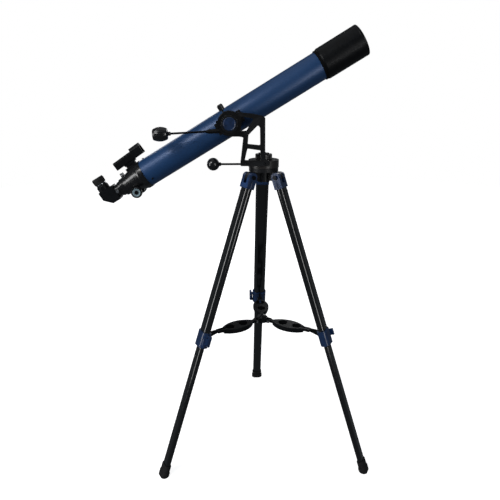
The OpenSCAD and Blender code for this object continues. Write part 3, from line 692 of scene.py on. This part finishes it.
def main_tube():
    """The painted tube, its ends rolled, flat black inside."""
    low, high = local_box("main_tube", TUBE)
    r = high.y
    wall = 1.2 * MM
    lip = 0.5 * MM
    steps = 3
    lip_middle = 2 * (steps + 1) + 1  # the outline's point inside the front lip
    points = [
        (low.x, r, lip), (high.x, r, lip), (high.x, r - wall, lip), (low.x, r - wall, lip),
    ]
    mesh = lathe("main_tube_shell", filleted(points, steps), segments=192, inside_from=lip_middle)
    new_piece(
        "main_tube_shell", mesh, TUBE, "optical_tube", ["tube", "flat"], ["main_tube"]
    )


def tube_screws():
    """Three small screws hold the focuser in the tube."""
    low, high = local_box("main_tube", TUBE)
    from_end = 17 * MM
    for k in range(3):
        angle = 2 * math.pi * k / 3
        out = Vector((0, math.sin(angle), math.cos(angle)))
        place = looking(TUBE, Vector((low.x + from_end, 0, 0)) + out * high.y, out)
        socket_screw(f"tube_screw_{k + 1}", place, "optical_tube", 3.2 * MM, 2.2 * MM)


def dew_shield():
    """The dew shield, with a chamfered shoulder behind and a rounded bead in front."""
    low, high = local_box("dew_shield", TUBE)
    cell = local_box("objective_cell", TUBE)[1]
    r = high.y
    sleeve = r - 0.3 * MM
    wall = 2.0 * MM
    bore = r - wall - 0.6 * MM
    bead = 7 * MM
    bore_start = 6 * (ARC_STEPS + 1)  # the outline's point where the front lip ends
    points = [
        (low.x, cell.y, 0), (low.x, r - 1.8 * MM, 0.5 * MM), (low.x + 4 * MM, sleeve, 2 * MM),
        (high.x - bead - 1 * MM, sleeve, 1 * MM), (high.x - bead, r, 1 * MM),
        (high.x, r - 0.4 * MM, 1.2 * MM), (high.x, bore, 0.6 * MM),
        (cell.x + 1 * MM, bore, 0.4 * MM), (cell.x, cell.y, 0),
    ]
    turned_piece(
        "dew_shield_shell", points, TUBE, "optical_tube", "black_plastic", ["plastic", "flat"],
        ["dew_shield"], segments=192, inside_from=bore_start,
    )


def objective():
    """A flint and a crown lens, a little apart."""
    low, high = local_box("objective_lenses", TUBE)
    r = high.y
    rings = 24
    joint = low.x + 5.25 * MM
    half_gap = 0.25 * MM
    rear_curve, joint_curve, front_curve = 0.9, 0.24, 0.5

    def sag(h, curve):
        return curve - math.sqrt(curve * curve - h * h)

    def lens(name, rear, front):
        outline = [Vector((rear(r * k / rings), r * k / rings)) for k in range(rings + 1)]
        outline += [Vector((front(r * k / rings), r * k / rings)) for k in range(rings, -1, -1)]
        mesh = lathe(name, outline, segments=160)
        new_piece(name, mesh, TUBE, "optical_tube", ["glass"])

    lens(
        "flint_lens", lambda h: low.x + sag(h, rear_curve),
        lambda h: joint - half_gap + sag(h, joint_curve),
    )
    lens(
        "crown_lens", lambda h: joint + half_gap + sag(h, joint_curve),
        lambda h: high.x - sag(h, front_curve),
    )
    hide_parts("objective_lenses")


# ---------- focuser and eyepiece ----------

def focus_knobs():
    """The knobs in their CAD shape, with a fluted metal disc in each face, black in its middle."""
    refined("focus_knobs", PINION, "gloss", 0.35)
    low, high = local_box("focus_knobs", PINION)
    r = 13.2 * MM
    depth = 1.0 * MM
    lobes = 12
    lobe_height = 0.05
    black_share = 0.55

    def flutes(x, radius, angle):
        if 0.3 * r < radius < 0.8 * r:
            return radius * (1 + lobe_height * math.cos(lobes * angle))
        return radius

    points = [
        (-0.5 * depth, 0, 0), (-0.5 * depth, r, 0), (0.7 * depth, r, 0.3 * depth),
        (0.7 * depth, 0.82 * r, 0.1 * depth), (0.25 * depth, 0.76 * r, 0.1 * depth),
        (0.25 * depth, 0.5 * r, 0.1 * depth), (0.8 * depth, 0.36 * r, 0.2 * depth),
        (0.8 * depth, 0, 0),
    ]
    for name, face, way in (("near", high.x, 1), ("far", low.x, -1)):
        cap = turned_piece(
            f"focus_knob_cap_{name}", points, looking(PINION, (face - way * depth, 0, 0), (way, 0, 0)),
            "focus_pinion", "steel", ["teal"], segments=144, shape=flutes,
        )
        painted(cap, "black_steel", lambda middle: math.hypot(middle.y, middle.z) < black_share * r)


def eyepiece():
    """A black barrel, a bright ring above the diagonal and a ribbed rubber eyecup."""
    base, tip = local_box("eyepiece_body", TUBE)
    axis = (base + tip) / 2
    above_shoulder = 28.5 * MM
    place = looking(TUBE, (axis.x, axis.y, tip.z - above_shoulder), (0, 0, 1))

    def turned(name, points, slot, material, **options):
        return turned_piece(name, in_mm(points), place, "eyepiece", slot, [material], **options)

    body = turned("eyepiece_barrel", [
        (-24, 13.6, 0.2), (-24, 15.85, 0.4), (0, 15.85, 0), (0, 17.3, 0.4), (3.4, 17.3, 0.3),
        (3.4, 16.9, 0), (26, 16.9, 0.3), (26, 13.5, 0.3), (20, 12, 0), (6, 12, 0), (6, 13.6, 0),
    ], "black_plastic", "gloss")
    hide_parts("eyepiece_body")
    turned("eyepiece_ring", [
        (3.6, 16.8, 0.1), (3.6, 17.6, 0.3), (6.6, 17.6, 0.3), (6.6, 16.8, 0.1),
    ], "chrome", "chrome")

    rib_count = 36
    rib_depth = 0.45 * MM
    grip_start, grip_end, grip_r = 9 * MM, 22 * MM, 18.5 * MM

    def ribs(x, radius, angle):
        if grip_start < x < grip_end and radius > grip_r:
            return radius - rib_depth * (0.5 + 0.5 * math.cos(rib_count * angle)) ** 2
        return radius

    turned("eyecup", [
        (6.9, 16.9, 0), (6.9, 18.2, 0.4), (8.6, 19.9, 0.5), (10, 19.9, 0.2), (21.5, 20.4, 0.2),
        (23.5, 20.2, 0.6), (28.4, 18.6, 0.7), (28.4, 16.6, 0.7), (26.3, 15.4, 0.3), (26.3, 16.9, 0),
    ], "rubber", "rubber", segments=216, shape=ribs)


def eyepiece_glass():
    """The field lens and the eye lens, domed in front."""
    low, high = local_box("eyepiece_lenses", TUBE)
    centre = (low + high) / 2
    place = looking(TUBE, (centre.x, centre.y, low.z), (0, 0, 1))
    dome = 0.9 * MM
    rings = 12
    eye_thick = 4 * MM
    eye_at = high.z - low.z - eye_thick
    lenses = (("field_lens", 0, 13.5 * MM, 5 * MM), ("eye_lens", eye_at, 11.9 * MM, eye_thick))
    for name, at, r, thick in lenses:
        outline = [Vector((at, 0)), Vector((at, r)), Vector((at + thick - dome, r))]
        outline += [
            Vector((at + thick - dome * (k / rings) ** 2, r * k / rings)) for k in range(rings, -1, -1)
        ]
        mesh = lathe(name, outline, segments=96)
        new_piece(name, mesh, place, "eyepiece", ["glass"])
    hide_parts("eyepiece_lenses")


# ---------- mount knobs ----------

def azimuth_knob():
    """A ball knob with a shallow waist line and a collar."""
    low, high = local_box("azimuth_knob", AZIMUTH_WORM)
    r = high.z
    centre = low.x + r
    hole_end = high.x - 13 * MM
    outline = [
        Vector((high.x, ROD_HOLE)), Vector((high.x, 5.0 * MM)), Vector((high.x - 0.6 * MM, 5.5 * MM)),
    ]
    collar = 6.2 * MM
    start = math.asin(collar / r)
    steps = 40
    for k in range(steps + 1):
        a = start + (math.pi - start) * k / steps
        outline.append(Vector((centre + r * math.cos(a), r * math.sin(a))))
    outline += [Vector((hole_end, 0)), Vector((hole_end, ROD_HOLE))]

    waist_depth = 0.35 * MM
    waist_width = 0.5 * MM

    def waist(x, radius, angle):
        inset = waist_depth * math.exp(-(((x - centre) / waist_width) ** 2))
        return radius - inset if radius > 0.9 * r else radius

    mesh = lathe("azimuth_knob_ball", outline, segments=128, shape=waist)
    new_piece(
        "azimuth_knob_ball", mesh, AZIMUTH_WORM, "azimuth_control", ["gloss"],
        ["azimuth_knob"],
    )


def altitude_knob():
    """A barrel knob with finger flutes round its belly and a stub over the rod."""
    low, high = local_box("altitude_knob", ALTITUDE_WORM)
    r = high.z
    length = 45 * MM
    end = low.x + length
    stub = 6 * MM
    hole_end = low.x + 15 * MM
    middle = low.x + length / 2
    taper = 5.5 * MM
    corner = Vector((0.6 * MM, 0))
    corner_height = 1.5 * MM
    steps = 16
    belly = [
        Vector((low.x + length * k / steps, r - taper * (2 * k / steps - 1) ** 2))
        for k in range(steps + 1)
    ]
    outline = [Vector((low.x, 0)), Vector((low.x, belly[0].y - corner_height))]
    outline += [belly[0] + corner] + belly[1:-1] + [belly[-1] - corner]
    outline += [
        Vector((end, belly[-1].y - corner_height)), Vector((end, stub)),
        Vector((high.x - 0.5 * MM, stub)), Vector((high.x, stub - 0.5 * MM)),
        Vector((high.x, ROD_HOLE)), Vector((hole_end, ROD_HOLE)), Vector((hole_end, 0)),
    ]
    flute_count = 24
    flute_depth = 0.6 * MM

    def flutes(x, radius, angle):
        if radius < 0.7 * r:
            return radius
        share = max(0.0, 1 - ((x - middle) / (0.4 * length)) ** 2)
        return radius - flute_depth * share * (0.5 + 0.5 * math.cos(flute_count * angle)) ** 3

    mesh = lathe("altitude_knob_barrel", outline, segments=192, shape=flutes)
    new_piece(
        "altitude_knob_barrel", mesh, ALTITUDE_WORM, "altitude_control", ["gloss"],
        ["altitude_knob"],
    )


def clutch_cap():
    """A dished blue disc on the altitude clutch."""
    low, high = local_box("clutch_knob_cap", CLUTCH)
    r = high.y
    thick = high.x - low.x
    points = [
        (low.x, 0, 0), (low.x, r, 0), (low.x + 0.6 * thick, r, 0.2 * thick),
        (high.x, 0.9 * r, 0.15 * thick), (low.x + 0.78 * thick, 0.82 * r, 0.2 * thick),
        (low.x + 0.86 * thick, 0, 0),
    ]
    turned_piece(
        "clutch_cap_disc", points, CLUTCH, "altitude_clutch", "blue_plastic", ["blue"],
        ["clutch_knob_cap"], segments=144,
    )


def arm_screws():
    """Two socket screws fasten the arm's foot to the turntable."""
    low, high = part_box("mount_arm")
    above_foot = 7 * MM
    for name, from_front in (("front", 12 * MM), ("rear", 74 * MM)):
        place = looking(WORLD, (high.x - from_front, low.y, low.z + above_foot), (0, -1, 0))
        socket_screw(f"arm_screw_{name}", place, "azimuth_head", 4 * MM, 2.6 * MM)


def lock_knob_cap():
    """A domed cap in the middle of the lock knob."""
    low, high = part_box("azimuth_lock_knob")
    sunk = 0.2 * MM
    points = in_mm([(0, 0, 0), (0, 10, 0), (1.2, 10, 0.5), (2.6, 6.5, 1.5), (3, 0, 0)])
    turned_piece(
        "lock_knob_cap", points, looking(WORLD, (0, 0, high.z - sunk), (0, 0, 1)), "azimuth_lock",
        "black_plastic", ["gloss"], segments=72,
    )


# ---------- tripod details ----------

def yoke_screws(side):
    """Two screws through the front of a yoke."""
    high = local_box(side + "_upper_leg", LEG[side])[1]
    below_top = 12 * MM
    for k, y in enumerate((-9 * MM, 9 * MM)):
        place = looking(LEG[side], (high.x, y, high.z - below_top), (1, 0, 0))
        socket_screw(f"{side}_yoke_screw_{k + 1}", place, side + "_leg", 2.6 * MM, 1.3 * MM)


def tray_hub_cap():
    """A round cap over the middle of the tray hub, with a stem in the hub's hole."""
    low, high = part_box("tray_hub")
    centre = (low + high) / 2
    points = in_mm([
        (-6, 0, 0), (-6, 4.8, 0), (0, 4.8, 0), (0, 9, 0), (1.8, 9, 0.7), (2.8, 5, 1), (3, 0, 0),
    ])
    turned_piece(
        "tray_hub_cap", points, looking(WORLD, (centre.x, centre.y, high.z), (0, 0, 1)), "tray_center",
        "black_plastic", ["gloss"], segments=72,
    )


# ---------- finder ----------

def finder_window():
    """The coated window in the hood and the small eye window behind."""
    low, high = local_box("finder_body", FINDER)
    centre_y = (low.y + high.y) / 2
    axis_z = 2 * MM
    thick, width, height = 1.6 * MM, 26.6 * MM, 21.6 * MM
    lean = 0.14
    bm = bmesh.new()
    bmesh.ops.create_cube(bm, size=1)
    bmesh.ops.scale(bm, vec=(thick, width, height), verts=bm.verts)
    bmesh.ops.bevel(bm, geom=bm.edges[:], offset=0.3 * MM, segments=2, affect="EDGES")
    hood = Matrix.Translation((high.x - 5 * MM, centre_y, axis_z - 0.75 * MM))
    place = FINDER @ hood @ Matrix.Rotation(lean, 4, "Y")
    new_piece("finder_window", finished("finder_window", bm), place, "optical_tube", ["amber"])
    eye = FINDER @ Matrix.Translation((low.x + 3 * MM, centre_y, axis_z))
    points = in_mm([(0, 0, 0), (0, 7.9, 0.2), (1.4, 7.9, 0.2), (1.4, 0, 0)])
    turned_piece("finder_eye_window", points, eye, "optical_tube", "glass", ["glass"], segments=72)


# ---------- the scene ----------

FLOOR_RADIUS = 6.0


def floor():
    """A round sheet of paper, seen by the camera but not reflected by the object."""
    bm = bmesh.new()
    bmesh.ops.create_circle(bm, cap_ends=True, segments=96, radius=FLOOR_RADIUS)
    ground = bpy.data.objects.new("floor", finished("floor", bm))
    ground.data.materials.append(floor_paper())
    ground.visible_diffuse = False
    ground.visible_glossy = False
    bpy.context.scene.collection.objects.link(ground)


camera()
world()
for softbox_row in SOFTBOXES:
    softbox(*softbox_row)
floor()
for node, (place, material, radius) in KEPT.items():
    refined(node, place, material, radius)
for side in SIDES:
    black_lug(side)
main_tube()
tube_screws()
dew_shield()
objective()
focus_knobs()
eyepiece()
eyepiece_glass()
azimuth_knob()
altitude_knob()
clutch_cap()
arm_screws()
lock_knob_cap()
for side in SIDES:
    yoke_screws(side)
tray_hub_cap()
finder_window()

bpy.context.scene.view_settings.view_transform = "Standard"
